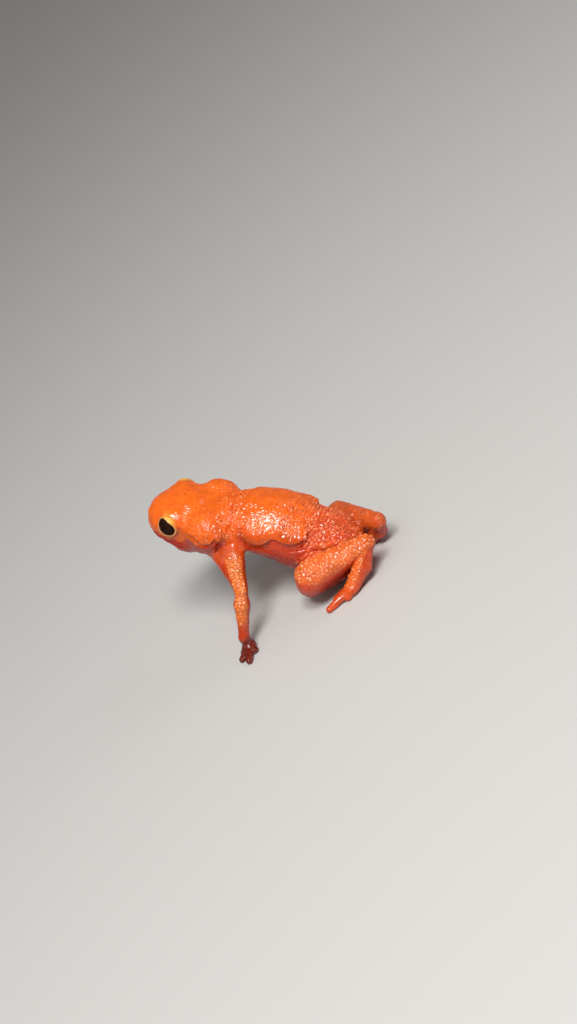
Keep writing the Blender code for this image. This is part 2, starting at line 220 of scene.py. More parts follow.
# Fineness of the skin's mesh, and steps and reach of its fitting
VOXEL = 0.085
SNAP_STEPS = 3
SNAP_LIMIT = 0.3
EASE_STEPS = 4
BLEND_REACH = 1.0
PART_BLUR = 0.12


def colour(red, green, blue):
    """A linear colour from the 0 to 255 values of a screen."""
    return np.array([(channel / 255) ** 2.2 for channel in (red, green, blue)])


HEAD_TOP = colour(238, 102, 20)
PAD = colour(208, 90, 20)
JAW = colour(172, 42, 6)
SHIELD_TONE = colour(234, 100, 20)
SHELF = colour(208, 78, 10)
FLANK = colour(190, 54, 6)
# The belly's red, darkened as painted shade
SHADED_BELLY = colour(158, 36, 4)
RUMP = colour(220, 84, 26)
SHANK = colour(232, 112, 46)
SHANK_LOW = colour(200, 64, 12)
SHANK_SHADED = colour(170, 44, 6)
FOOT = colour(206, 74, 18)
FOREARM = colour(230, 120, 46)
# The arm's own red, made a little darker as painted shade
ARM = colour(186, 54, 8)
ARM_ROOT = colour(210, 78, 14)
# The hand's red, darkened as painted shade
SHADED_HAND = colour(104, 28, 8)
RIM = colour(214, 164, 100)
GOLD = colour(244, 180, 84)
SPECK = colour(110, 18, 10)
# Pale pink of a painted highlight on the granules' tops
TIP_HIGHLIGHT = colour(255, 178, 136)
# How much painted shade darkens each channel in granule hollows and creases
CREVICE_SHADE = np.array((0.4, 0.75, 0.85))
EYE_BLACK = (0.004, 0.002, 0.002, 1)
EYE_BROWN = (0.03, 0.012, 0.006, 1)


# Places and directions

def pitched(forward, left, up):
    """A direction given along the trunk's nose-up axes, in the row frame."""
    cos, sin = math.cos(TRUNK_PITCH), math.sin(TRUNK_PITCH)
    return np.array((left, -forward * cos + up * sin, forward * sin + up * cos))


def trunk_point(forward, left, up):
    return pitched(forward, left, up) + np.array((0, 0, TRUNK_HEIGHT))


def head_point(forward, left, up):
    return trunk_point(HEAD_FORWARD + forward, left, HEAD_UP + up)


def sided(place, side):
    """A place or direction of the left side as forward, left and up, turned over for the right side."""
    forward, left, up = place
    return forward, side * left, up


def mirrored(point, side):
    """A point or direction of the left side in the row frame, turned over for the right side."""
    return np.array(point) * (side, 1, 1)


def unit(vector):
    return vector / np.linalg.norm(vector)


def shoulder(side):
    return trunk_point(*sided(SHOULDER, side))


def elbow(side):
    return trunk_point(*sided(ELBOW, side))


def eye_centre(side):
    return head_point(*sided(EYE_PLACE, side))


def shank_top(side):
    return trunk_point(*sided(SHANK_TOPS[side], side))


def heel(side):
    return trunk_point(*sided(HEELS[side], side))


def sole(side):
    return mirrored(SOLES[side], side)


# The forms that the flesh is blended from

class Egg:
    """An ellipsoid. Its radii run along the trunk's axes, or along those of the row."""

    def __init__(self, centre, radii, soft, level=False):
        self.centre = np.array(centre, float)
        self.radii = np.array(radii, float)
        trunk = np.array((pitched(1, 0, 0), pitched(0, 1, 0), pitched(0, 0, 1)))
        self.axes = np.eye(3) if level else trunk
        self.reach = max(radii)
        self.soft = soft

    def distance(self, points):
        local = (points - self.centre) @ self.axes.T / self.radii
        near = np.linalg.norm(local, axis=1)
        slope = np.maximum(np.linalg.norm(local / self.radii, axis=1), 1e-9)
        return near * (near - 1) / slope

    def add_to(self, mesh):
        turn = Matrix(self.axes.T.tolist()).to_4x4()
        place = Matrix.Translation(Vector(self.centre)) @ turn @ Matrix.Diagonal((*self.radii, 1))
        bmesh.ops.create_uvsphere(mesh, u_segments=24, v_segments=12, radius=1, matrix=place)


class Limb:
    """A round bar from one point to another, tapering from one radius to the other."""

    def __init__(self, start, end, radii, soft):
        self.start, self.end = np.array(start, float), np.array(end, float)
        self.centre = (self.start + self.end) / 2
        self.radii = radii
        self.reach = np.linalg.norm(self.end - self.start) / 2 + max(radii)
        self.soft = soft

    def distance(self, points):
        along = self.end - self.start
        share = np.clip((points - self.start) @ along / (along @ along), 0, 1)
        radius = self.radii[0] + (self.radii[1] - self.radii[0]) * share
        return np.linalg.norm(points - self.start - share[:, None] * along, axis=1) - radius

    def add_to(self, mesh):
        along = Vector(self.end - self.start)
        turn = along.to_track_quat("Z", "Y").to_matrix().to_4x4()
        middle = Matrix.Translation(Vector(self.start + self.end) / 2) @ turn
        bmesh.ops.create_cone(mesh, cap_ends=True, segments=16, radius1=self.radii[0],
                              radius2=self.radii[1], depth=along.length, matrix=middle)
        for point, radius in zip((self.start, self.end), self.radii):
            place = Matrix.Translation(Vector(point))
            bmesh.ops.create_uvsphere(mesh, u_segments=16, v_segments=8, radius=radius, matrix=place)


def egg_forms(to_row, eggs, bulges):
    """Eggs on the midline, then the bulges of each side. to_row turns their places into row points."""
    forms = [Egg(to_row(*place), radii, soft) for place, radii, soft in eggs.values()]
    for _, side in SIDES:
        forms += [Egg(to_row(*sided(place, side)), radii, soft) for place, radii, soft in bulges.values()]
    return forms


def trunk_forms():
    return egg_forms(trunk_point, TRUNK_EGGS, TRUNK_BULGES)


def head_forms():
    return egg_forms(head_point, HEAD_EGGS, HEAD_BULGES)


def digit_forms(root, side, digits, radii):
    forms = []
    for reach, turn in digits:
        angle = math.radians(turn)
        tip = root + reach * np.array((side * math.sin(angle), -math.cos(angle), 0))
        tip[2] = radii[1] - SUNK
        forms.append(Limb(root, tip, radii, 0.15))
    return forms


def arm_forms(side):
    chest = trunk_point(*sided(CHEST, side))
    wrist, knuckles = mirrored(WRIST, side), mirrored(KNUCKLES, side)
    muscle = elbow(side) + 0.3 * (wrist - elbow(side))
    forms = [
        Limb(shoulder(side), elbow(side), (0.9, 0.45), 0.4),
        Limb(chest, elbow(side), (1.2, 0.42), 0.5),
        Limb(elbow(side), muscle, (0.45, 0.62), 0.2),
        Limb(muscle, wrist, (0.62, 0.38), 0.2),
        Limb(wrist, knuckles, (0.4, 0.45), 0.3),
        Egg(knuckles, (0.62, 0.55, 0.42), 0.2, level=True),
    ]
    return forms + digit_forms(knuckles, side, FINGERS, FINGER_RADII)


def thigh_forms(side):
    hip = trunk_point(*sided(HIP, side))
    knee = shank_top(side) + pitched(0.2, side * -0.5, -1.05)
    return [Limb(hip, knee, (1.6, 1.15), 0.6)]


def lower_leg_forms(side):
    bulge = (heel(side) + sole(side)) / 2 + pitched(-0.3, 0, 0)
    forms = [
        Limb(shank_top(side), heel(side), SHANK_RADII[side], 0.3),
        Limb(heel(side), bulge, (0.64, 0.72), 0.12),
        Limb(bulge, sole(side), (0.72, 0.56), 0.12),
        Egg(sole(side), (0.72, 0.66, 0.48), 0.2, level=True),
    ]
    return forms + digit_forms(sole(side), side, TOES, TOE_RADII)


def all_forms():
    forms = trunk_forms() + head_forms()
    for _, side in SIDES:
        forms += arm_forms(side) + thigh_forms(side)
    for _, side in SIDES:
        forms += lower_leg_forms(side)
    return forms


# The blended surface

def touched(form, points):
    """Which points are close enough to a form for it to alter the blend."""
    away = np.linalg.norm(points - form.centre, axis=1)
    return away < form.reach + form.soft + BLEND_REACH


def blend(first, second, soft):
    """The smooth union of two distances."""
    share = np.clip(0.5 + 0.5 * (first - second) / soft, 0, 1)
    return first * (1 - share) + second * share - soft * share * (1 - share)


def flesh_distance(forms, points):
    found = forms[0].distance(points)
    for form in forms[1:]:
        close = touched(form, points)
        found[close] = blend(found[close], form.distance(points[close]), form.soft)
    return found


def flesh_slope(forms, points, step=0.01):
    slope = np.empty_like(points)
    for axis in range(3):
        shift = np.zeros(3)
        shift[axis] = step
        ahead = flesh_distance(forms, points + shift)
        behind = flesh_distance(forms, points - shift)
        slope[:, axis] = (ahead - behind) / (2 * step)
    return slope


def snap(forms, points):
    """Points moved onto the surface of the blended forms."""
    for _ in range(SNAP_STEPS):
        slope = flesh_slope(forms, points)
        steep = np.maximum((slope * slope).sum(axis=1), 0.2)
        move = flesh_distance(forms, points) / steep
        points = points - slope * np.clip(move, -SNAP_LIMIT, SNAP_LIMIT)[:, None]
    return points


# Meshes

def link(thing):
    bpy.context.scene.collection.objects.link(thing)
    return thing


def new_object(name, mesh):
    data = bpy.data.meshes.new(name)
    mesh.to_mesh(data)
    mesh.free()
    return link(bpy.data.objects.new(name, data))


def apply_modifiers(thing):
    graph = bpy.context.evaluated_depsgraph_get()
    data = bpy.data.meshes.new_from_object(thing.evaluated_get(graph))
    thing.modifiers.clear()
    thing.data = data


def read_points(data):
    points = np.empty(len(data.vertices) * 3, np.float32)
    data.vertices.foreach_get("co", points)
    return points.reshape(-1, 3).astype(float)


def write_points(data, points):
    data.vertices.foreach_set("co", points.astype(np.float32).ravel())
    data.update()


def read_normals(data):
    normals = np.empty(len(data.vertices) * 3, np.float32)
    data.vertex_normals.foreach_get("vector", normals)
    return normals.reshape(-1, 3).astype(float)


def bare_skin(forms):
    """The smooth flesh as one fine mesh, in millimetres."""
    mesh = bmesh.new()
    for form in forms:
        form.add_to(mesh)
    thing = new_object("skin", mesh)
    fuse = thing.modifiers.new("fuse", "REMESH")
    fuse.mode = "VOXEL"
    fuse.voxel_size = VOXEL
    apply_modifiers(thing)
    write_points(thing.data, snap(forms, read_points(thing.data)))
    ease = thing.modifiers.new("ease", "SMOOTH")
    ease.factor = 0.5
    ease.iterations = EASE_STEPS
    apply_modifiers(thing)
    write_points(thing.data, snap(forms, read_points(thing.data)))
    finer = thing.modifiers.new("finer", "SUBSURF")
    finer.levels = 1
    apply_modifiers(thing)
    return thing


# Measures and noises over the skin's points

def ramp(low, high, values):
    """Rises smoothly from 0 at low to 1 at high. It falls if high is the lower one."""
    share = np.clip((values - low) / (high - low), 0, 1)
    return share * share * (3 - 2 * share)


def stretch(places, values):
    """1 within a stretch and 0 outside it. Its places are the start, full, fade and end."""
    start, full, fade, end = places
    return ramp(start, full, values) * ramp(end, fade, values)


def mound(distance, width):
    return np.exp(-(distance / width) ** 2)


def ripples(points, size, seed, count=14):
    """Smooth random relief, mostly between -1 and 1, with swells of about the given size."""
    rng = np.random.default_rng(seed)
    total = np.zeros(len(points))
    for _ in range(count):
        way = unit(rng.normal(size=3)) * 2 * math.pi / (size * rng.uniform(0.7, 1.5))
        total += np.sin(points @ way + rng.uniform(0, 2 * math.pi))
    return total / math.sqrt(count)


def wandering(points, size, seeds):
    """Three ripples as the parts of one random step for each point."""
    return np.stack([ripples(points, size, seed) for seed in seeds], axis=1)


def tree_of(places):
    tree = KDTree(len(places))
    for index, place in enumerate(places):
        tree.insert(place, index)
    tree.balance()
    return tree


def scattered(points, spacing, seed):
    """Places spread evenly over the points, about the given spacing apart."""
    order = np.random.default_rng(seed).permutation(len(points))
    order = order[:len(order) // 3]
    cells = np.floor(points[order] / spacing).astype(int)
    _, first = np.unique(cells, axis=0, return_index=True)
    places, sample = points[order[first]], points[order]
    for _ in range(2):
        tree = tree_of(places)
        owner = np.array([tree.find(point)[1] for point in sample])
        count = np.maximum(np.bincount(owner, minlength=len(places)), 1)
        places = np.stack([np.bincount(owner, sample[:, axis], len(places)) / count
                           for axis in range(3)], axis=1)
    return places


def cobbles(points, spacing, seed):
    """Packed domes. Gives each point's height on its dome from 0 to 1, its distance from the
    dome's middle, and the dome's own luck."""
    places = scattered(points, spacing, seed)
    tree = tree_of(places)
    first, second = np.empty(len(points)), np.empty(len(points))
    owner = np.empty(len(points), int)
    for index, point in enumerate(points):
        (_, owner[index], first[index]), (_, _, second[index]) = tree.find_n(point, 2)
    rise = np.clip((second - first) / (0.75 * spacing), 0, 1)
    luck = np.random.default_rng(seed + 1).uniform(0, 1, len(places))
    return 1 - (1 - rise) ** 2, first, luck[owner]


def from_segment(points, start, end):
    """The step to each point from the nearest place on a straight segment."""
    along = end - start
    share = np.clip((points - start) @ along / (along @ along), 0, 1)
    return points - start - share[:, None] * along


def to_segments(points, line):
    """Distance from each point to an open line of straight segments."""
    nearest = np.full(len(points), 1e9)
    for start, end in zip(line[:-1], line[1:]):
        nearest = np.minimum(nearest, np.linalg.norm(from_segment(points, start, end), axis=1))
    return nearest


class Chart:
    """The skin's points on the trunk's axes, and which part of the body each belongs to."""

    def __init__(self, points):
        self.points = points
        local = points - np.array((0, 0, TRUNK_HEIGHT))
        self.forward = local @ pitched(1, 0, 0)
        self.left = local @ pitched(0, 1, 0)
        self.up = local @ pitched(0, 0, 1)
        self.wide = np.abs(self.left)
        self.round = np.degrees(np.arctan2(self.wide, self.up - 0.4))
        self.head_forward = self.forward - HEAD_FORWARD
        self.head_up = self.up - HEAD_UP
        self.above_floor = points[:, 2]
        groups = {"trunk": trunk_forms(), "head": head_forms()}
        for name, side in SIDES:
            groups["arm_" + name] = arm_forms(side)
            groups["thigh_" + name] = thigh_forms(side)
            groups["leg_" + name] = lower_leg_forms(side)
        away = {name: np.min([form.distance(points) for form in forms], axis=0)
                for name, forms in groups.items()}
        near = {name: np.exp(-np.maximum(distance, 0) / PART_BLUR) for name, distance in away.items()}
        total = sum(near.values())
        self.part = {name: value / total for name, value in near.items()}


# The shield of the back

def smoothed(border, steps=4):
    """A smooth curve through the border's points."""
    curve = []
    for index, (start, end) in enumerate(zip(border[:-1], border[1:])):
        lean_start = (end - border[max(index - 1, 0)]) / 2
        lean_end = (border[min(index + 2, len(border) - 1)] - start) / 2
        for share in np.arange(steps) / steps:
            square, cube = share ** 2, share ** 3
            held = (2 * cube - 3 * square + 1) * start + (3 * square - 2 * cube) * end
            bent = (cube - 2 * square + share) * lean_start + (cube - square) * lean_end
            curve.append(held + bent)
    return np.array(curve + [border[-1]])


def enclosed(flat, loop):
    """Which flat points lie inside a closed loop."""
    inside = np.zeros(len(flat), bool)
    for start, end in zip(loop, np.roll(loop, -1, axis=0)):
        crosses = (start[1] > flat[:, 1]) != (end[1] > flat[:, 1])
        share = (flat[:, 1] - start[1]) / (end[1] - start[1] + 1e-12)
        inside ^= crosses & (flat[:, 0] < start[0] + share * (end[0] - start[0]))
    return inside


def shield_depth(chart):
    """Distance inside the border of the back's shield, negative outside it."""
    border = np.array([(forward, math.radians(turn) * SHIELD_GIRTH) for forward, turn in SHIELD])
    half = smoothed(border)
    flat = np.stack((chart.forward, np.radians(chart.round) * SHIELD_GIRTH), axis=1)
    away = to_segments(flat, half)
    loop = np.vstack((half, half[::-1] * (1, -1)))
    return np.where(enclosed(flat, loop), away, -away)


def shield_swell(chart, shield):
    """The raised shelf and sunken border of the shield, and the low ridge of the spine."""
    shelf = ramp(3.6, 2.9, chart.forward) * ramp(30, 60, chart.round)
    shelf *= chart.part["trunk"] + chart.part["head"]
    swell = SHIELD_RISE * ramp(-0.06, 0.08, shield) * ramp(1.6, 0.3, shield) * shelf
    swell -= SHIELD_RISE * ramp(0.02, -0.08, shield) * ramp(-1.2, -0.2, shield) * shelf
    return swell + SPINE_RISE * mound(chart.left, 0.4) * stretch(SPINE, chart.forward) * (chart.up > 0)


def flank_pleats(chart, shield):
    """Two broken pleats below the shield's border."""
    pleats = mound(shield + 0.3, 0.07) + 0.7 * mound(shield + 0.75, 0.08)
    broken = ramp(-0.2, 0.6, ripples(chart.points, 0.8, seed=7))
    flank = stretch(PLEATED, chart.forward) * ramp(60, 70, chart.round) * chart.part["trunk"]
    return PLEAT_RISE * pleats * broken * flank


# Eyes, mouth, folds and nostrils

def lid_axes(side):
    """The way an eye looks, the way along its lids' opening and the way across it."""
    look = unit(pitched(*sided(EYE_LOOK, side)))
    slant = pitched(*sided(EYE_SLANT, side))
    slant = unit(slant - look * (slant @ look))
    return look, slant, unit(np.cross(look, slant)) * side


def open_lids(points):
    """Moves the skin round each eye out to a rim, and under the eye's ball where the lids part.

    It also gives how far each point is on that rim, and on the golden patch of the upper lid.
    """
    rim, gold = np.zeros(len(points)), np.zeros(len(points))
    moved = points.copy()
    for _, side in SIDES:
        centre = eye_centre(side)
        look, slant, across = lid_axes(side)
        close = np.linalg.norm(points - centre, axis=1) < LID_REACH
        out = points[close] - centre
        far = np.linalg.norm(out, axis=1)
        way = out / far[:, None]
        turn = np.arccos(np.clip(way @ look, -1, 1))
        flat = np.stack((way @ slant, way @ across), axis=1)
        flat *= (EYE_RADIUS * turn / np.maximum(np.linalg.norm(flat, axis=1), 1e-6))[:, None]
        share = np.abs(flat / EYE_OPENING) ** LID_SQUARENESS
        ring = share.sum(axis=1) ** (1 / LID_SQUARENESS)
        wanted = EYE_RADIUS - LID_SINK + (LID_SINK + LID_RISE) * ramp(LID_FOOT, LID_TOP, ring)
        target = far + (wanted - far) * ramp(LID_END, LID_FADE, ring)
        outside = EYE_RADIUS + 0.9 * LID_RISE
        target = np.where(ring > LID_TOP, np.maximum(target, outside), target)
        moved[close] = centre + way * target[:, None]
        rim[close] = np.maximum(rim[close], mound(ring - RIM_RING, RIM_WIDTH))
        patch = mound(flat - GOLD_PLACE, GOLD_SIZE).prod(axis=1)
        gold[close] = np.maximum(gold[close], patch)
    return moved, rim, np.clip(1.3 * gold, 0, 1)


def mouth_line(forms):
    turns = np.radians(np.linspace(-MOUTH_TURN, MOUTH_TURN, 41))
    guess = [head_point(MOUTH_BACK + MOUTH_LENGTH * math.cos(turn),
                        MOUTH_HALF_WIDTH * math.sin(turn),
                        MOUTH_CORNER_UP + (MOUTH_TIP_UP - MOUTH_CORNER_UP) * math.cos(turn / 1.1))
             for turn in turns]
    return snap(forms, np.array(guess))


def grooves(points, forms):
    """The mouth, folds and nostrils. Gives how far they raise the skin, and how much painted shade
    darkens them.
    """
    away = to_segments(points, mouth_line(forms))
    swell = LIP_RISE * mound(away - 0.2, 0.11) - MOUTH_DEPTH * mound(away, 0.06)
    # Painted shade along the mouth line, in the folds and in the nostrils
    dark = 0.8 * mound(away, 0.07)
    for _, side in SIDES:
        for fold in FOLDS.values():
            line = np.array([trunk_point(*sided(place, side)) for place in fold])
            away = to_segments(points, snap(forms, line))
            swell += FOLD_RISE * mound(away - 0.28, 0.16) - FOLD_DEPTH * mound(away, 0.1)
            dark += 0.48 * mound(away, 0.1)
        nostril = snap(forms, head_point(*sided(NOSTRIL_PLACE, side))[None])[0]
        away = np.linalg.norm(points - nostril, axis=1)
        swell += NOSTRIL_RISE * mound(away - 0.2, 0.08) - NOSTRIL_DEPTH * mound(away, 0.1)
        dark += 0.8 * mound(away, 0.1)
    return swell, dark


# Granules, and which stretches of the skin have them

def cheek_top(chart):
    """The bumpy slope of the head behind and above the eye."""
    place = ramp(-0.1, 0.6, chart.head_up) * ramp(1.0, 0.3, chart.head_forward)
    return chart.part["head"] * place * ramp(0.7, 1.4, chart.wide)


def down_arm(chart, side):
    """How far each point is from the arm's root, along the upper arm."""
    return (chart.points - shoulder(side)) @ unit(elbow(side) - shoulder(side))


def arm_streak(chart, side):
    """The bright granular streak down the outer side of an arm. Near the floor it fades, which is painted
    shade on the lower forearm.
    """
    out = unit(mirrored(ARM_OUT, side))
    best = np.zeros(len(chart.points))
    for start, end in ((shoulder(side), elbow(side)), (elbow(side), mirrored(WRIST, side))):
        off = from_segment(chart.points, start, end)
        off /= np.maximum(np.linalg.norm(off, axis=1), 1e-6)[:, None]
        best = np.maximum(best, ramp(0.4, 0.8, off @ out))
    # The fade near the floor is painted shade; it also lowers the granules there
    return best * ramp(1.9, 3.1, chart.above_floor) * ramp(0.9, 2.2, down_arm(chart, side))


def leg_top(chart, side):
    """The granular side of a folded lower leg, which is upward on the shank and forward below."""
    shank, upper, lower = lower_leg_forms(side)[:3]
    lift = from_segment(chart.points, shank.start, shank.end) @ mirrored(SHANK_UP, side)
    face = from_segment(chart.points, upper.start, lower.end) @ mirrored(TARSUS_FRONT, side)
    ahead = (chart.points - shank.start) @ unit(shank.start - shank.end)
    tarsus = np.minimum(upper.distance(chart.points), lower.distance(chart.points))
    nearer = ramp(-0.1, 0.1, shank.distance(chart.points) - tarsus)
    top = ramp(-0.7, -0.3, lift) * ramp(1.25, 0.85, ahead)
    front = ramp(-0.35, 0.05, face) * ramp(0.6, 1.2, chart.above_floor)
    return top * (1 - nearer) + front * nearer


def granular(chart, shield):
    """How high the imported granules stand, from 0 for smooth skin to 1."""
    rump = ramp(-0.6, -1.9, chart.forward) * ramp(150, 105, chart.round)
    neck = stretch(NECK, chart.forward) * ramp(120, 80, chart.round)
    plate = SMOOTH["shield"] + ADDED["shield_rear"] * ramp(1.2, -1.0, chart.forward)
    plate = np.maximum(plate, 0.5 * (rump + neck))
    trunk = SMOOTH["trunk"] + ADDED["rump"] * rump + ADDED["neck"] * neck
    trunk += (plate - trunk) * ramp(0.0, 0.4, shield)
    head = SMOOTH["head"] + ADDED["nape"] * neck + ADDED["cheek"] * cheek_top(chart)
    rough = chart.part["trunk"] * trunk + chart.part["head"] * head
    for name, side in SIDES:
        arm = SMOOTH["arm"] + ADDED["streak"] * arm_streak(chart, side)
        leg = SMOOTH["leg"] + ADDED_ON_SHANK[side] * leg_top(chart, side)
        rough += chart.part["arm_" + name] * arm
        rough += chart.part["thigh_" + name] * SMOOTH["thigh"]
        rough += chart.part["leg_" + name] * leg
    return rough


def squeezed(chart):
    """The skin's points warped and squeezed along the granules' lie, so that domes on them are long."""
    lie = pitched(*GRANULE_LIE)
    warped = chart.points + 0.06 * wandering(chart.points, 0.8, (41, 42, 43))
    warped += 0.03 * wandering(chart.points, 0.3, (44, 45, 46))
    squeeze = 0.3 + 0.25 * ramp(-1.0, -2.5, chart.forward) * chart.part["trunk"]
    return warped - (squeeze * (warped @ lie))[:, None] * lie


# Colours of the skin

def mix(first, second, share):
    return first + (second - first) * share[:, None]


def trunk_colour(chart, shield):
    """The shield, the shelf at its border, the flank, the belly and the rump. The belly's red is darkened
    as painted shade.
    """
    nape = ramp(3.2, 3.9, chart.forward)
    below = ramp(40, 65, chart.round) * (1 - nape) + ramp(85, 110, chart.round) * nape
    tone = mix(SHIELD_TONE, SHELF, ramp(52, 76, chart.round) * (1 - nape))
    tone = mix(tone, FLANK, ramp(0.15, -0.1, shield) * below)
    tone = mix(tone, SHADED_BELLY, ramp(92, 122, chart.round))
    return mix(tone, RUMP, ramp(-1.6, -2.2, chart.forward) * ramp(120, 95, chart.round))


def head_colour(chart):
    """The bright top of the head, the cheek pads and the dark jaw."""
    tone = mix(HEAD_TOP, PAD, ramp(1.8, 2.8, chart.wide) * ramp(1.3, 0.5, chart.head_up))
    wave = 0.12 * ripples(chart.points, 0.7, seed=5)
    border = np.interp(chart.head_forward, *zip(*JAW_BORDER))
    return mix(tone, JAW, ramp(0.12, -0.16, chart.head_up - border + wave))


def arm_colour(chart, side):
    tone = mix(ARM, ARM_ROOT, ramp(2.4, 0.8, down_arm(chart, side)))
    # Painted shade: the arm turns to the darker hand red near the floor
    tone = mix(tone, SHADED_HAND, ramp(1.6, 1.0, chart.above_floor))
    return mix(tone, FOREARM, arm_streak(chart, side))


def leg_colour(chart, side):
    """The lower leg and foot. Those on the right get a darker underside and a weaker bright top, as
    painted shade.
    """
    # Painted shade on the right leg: the shaded underside and half the bright top
    under, bright = (SHANK_LOW, 1) if side > 0 else (SHANK_SHADED, 0.5)
    tone = mix(under, FOOT, ramp(2.0, 0.8, chart.above_floor))
    return mix(tone, SHANK, bright * leg_top(chart, side))


def skin_colour(chart, shield, relief, rim, gold, specks, normals):
    """The colour of each point. Granule tops get a painted highlight, and hollows, folds, the mouth and
    the nostrils get painted shade.
    """
    total = chart.part["trunk"][:, None] * trunk_colour(chart, shield)
    total += chart.part["head"][:, None] * head_colour(chart)
    for name, side in SIDES:
        total += chart.part["arm_" + name][:, None] * arm_colour(chart, side)
        total += chart.part["thigh_" + name][:, None] * FLANK
        total += chart.part["leg_" + name][:, None] * leg_colour(chart, side)
    # Painted shade: skin that faces down is mixed towards the shaded belly red
    total = mix(total, SHADED_BELLY, 0.7 * ramp(-0.1, -0.7, normals[:, 2]))
    mottle = 0.08 * ripples(chart.points, 1.4, seed=11)
    mottle += 0.05 * ripples(chart.points, 0.45, seed=12, count=30)
    total *= (1 + mottle)[:, None]
    # Painted shade: granule hollows, folds, the mouth and the nostrils are darkened
    total *= 1 + np.clip(relief, -0.9, 0)[:, None] * CREVICE_SHADE
    # Painted highlight: raised granule tops are mixed towards pale pink
    total = mix(total, TIP_HIGHLIGHT, 0.65 * np.clip(relief, 0, 1))
    total = mix(total, GOLD, gold)
    total = mix(total, RIM, rim)
    return np.clip(mix(total, SPECK, specks), 0, 1)


def dress(thing, forms):
    """Raises the relief on the bare skin and paints it."""
    points = read_points(thing.data)
    chart = Chart(points)
    shield = shield_depth(chart)
    moved, rim, gold = open_lids(points)
    swell, dark = grooves(points, forms)
    swell += shield_swell(chart, shield) + flank_pleats(chart, shield)
    swell += SWELL_RISE * ripples(points, 0.9, seed=3)
    swell += RIPPLE_RISE * ripples(points, 0.35, seed=4, count=30)
    write_points(thing.data, moved + read_normals(thing.data) * swell[:, None])

    normals = read_normals(thing.data)
    domes, _, luck = cobbles(squeezed(chart), GRANULE_SPACING, seed=21)
    grains, grain_middle, grain_luck = cobbles(points, GRAIN_SPACING, seed=31)
    rough = granular(chart, shield) * (1 - rim)
    pitted = ramp(0.2, 0.8, shield) * ramp(86, 60, chart.round) * chart.part["trunk"]
    fine = PLAIN_GRAIN + (SHIELD_GRAIN * pitted + CHEEK_GRAIN * cheek_top(chart)) * grain_luck
    height = rough * GRANULE_RISE * (0.4 + 0.8 * luck) * domes + fine * grains
    placed = read_points(thing.data) + normals * (height - 0.6 * height.mean())[:, None]
    placed[:, 2] = np.maximum(placed[:, 2], 0.0)
    write_points(thing.data, placed)

    # Granule height and groove shade in one: above 0 gets a painted highlight, below 0 gets painted shade
    relief = rough * (domes * (0.6 + luck) - 0.75) - dark
    rare = 0.7 * (grain_luck > 0.98) * ramp(110, 80, chart.round)
    freckles = 0.8 * (grain_luck > 0.5) * ramp(0.3, 0.6, gold)
    specks = np.maximum(rare, freckles) * ramp(0.09, 0.05, grain_middle)
    paint = np.ones((len(points), 4), np.float32)
    paint[:, :3] = skin_colour(chart, shield, relief, rim, gold, specks, normals)
    layer = thing.data.attributes.new("tone", "FLOAT_COLOR", "POINT")
    layer.data.foreach_set("color", paint.ravel())


# Materials

def new_material(name, sockets):
    """A material with the given values on its shader's own sockets."""
    made = bpy.data.materials.new(name)
    made.use_nodes = True
    for socket, value in sockets.items():
        made.node_tree.nodes["Principled BSDF"].inputs[socket].default_value = value
    return made


def fine_noise(tree, scale, detail):
    """A noise over the piece's own places."""
    place = tree.nodes.new("ShaderNodeTexCoord")
    noise = tree.nodes.new("ShaderNodeTexNoise")
    noise.inputs["Scale"].default_value = scale
    noise.inputs["Detail"].default_value = detail
    tree.links.new(place.outputs["Object"], noise.inputs["Vector"])
    return noise.outputs["Fac"]


def spread(tree, source, low, high, start=0.0, end=1.0):
    """A value that runs from low to high as the source runs from start to end."""
    span = tree.nodes.new("ShaderNodeMapRange")
    span.inputs["From Min"].default_value = start
    span.inputs["From Max"].default_value = end
    span.inputs["To Min"].default_value = low
    span.inputs["To Max"].default_value = high
    tree.links.new(source, span.inputs["Value"])
    return span.outputs["Result"]


def skin_material():
    """Wet skin in the painted tones, a little uneven in tone, gloss and surface."""
    made = new_material("toadlet_skin", {
        "Subsurface Weight": 0.25,
        "Subsurface Radius": (1.0, 0.3, 0.1),
        "Subsurface Scale": 0.0005,
        "Specular IOR Level": 0.1,
        "Coat Weight": 0.4,
        "Coat IOR": 2.0,
        "Coat Roughness": 0.1,
    })
    tree = made.node_tree
    shader = tree.nodes["Principled BSDF"]
    tone = tree.nodes.new("ShaderNodeAttribute")
    tone.attribute_name = "tone"
    cloud = fine_noise(tree, scale=9000, detail=5)
    shade = spread(tree, cloud, low=0.9, high=1.08, start=0.3, end=0.7)
    tint = tree.nodes.new("ShaderNodeVectorMath")
    tint.operation = "SCALE"
    tree.links.new(tone.outputs["Color"], tint.inputs[0])
    tree.links.new(shade, tint.inputs["Scale"])
    tree.links.new(tint.outputs["Vector"], shader.inputs["Base Color"])
    tree.links.new(spread(tree, cloud, low=0.32, high=0.6), shader.inputs["Roughness"])
    bump = tree.nodes.new("ShaderNodeBump")
    bump.inputs["Strength"].default_value = 0.5
    bump.inputs["Distance"].default_value = PIT_DEPTH * METRES
    tree.links.new(fine_noise(tree, scale=14000, detail=3), bump.inputs["Height"])
    tree.links.new(bump.outputs["Normal"], shader.inputs["Normal"])
    return made


def eye_material():
    """A dark eye with a faint brown cloud in it, under a thin gloss."""
    made = new_material("toadlet_eye", {
        "Roughness": 0.4,
        "Specular IOR Level": 0.0,
        "Coat Weight": 0.4,
        "Coat IOR": 1.2,
        "Coat Roughness": 0.03,
    })
    tree = made.node_tree
    shades = tree.nodes.new("ShaderNodeValToRGB")
    shades.color_ramp.elements[0].color = EYE_BLACK
    shades.color_ramp.elements[1].color = EYE_BROWN
    tree.links.new(fine_noise(tree, scale=2500, detail=2), shades.inputs["Fac"])
    tree.links.new(shades.outputs["Color"], tree.nodes["Principled BSDF"].inputs["Base Color"])
    return made


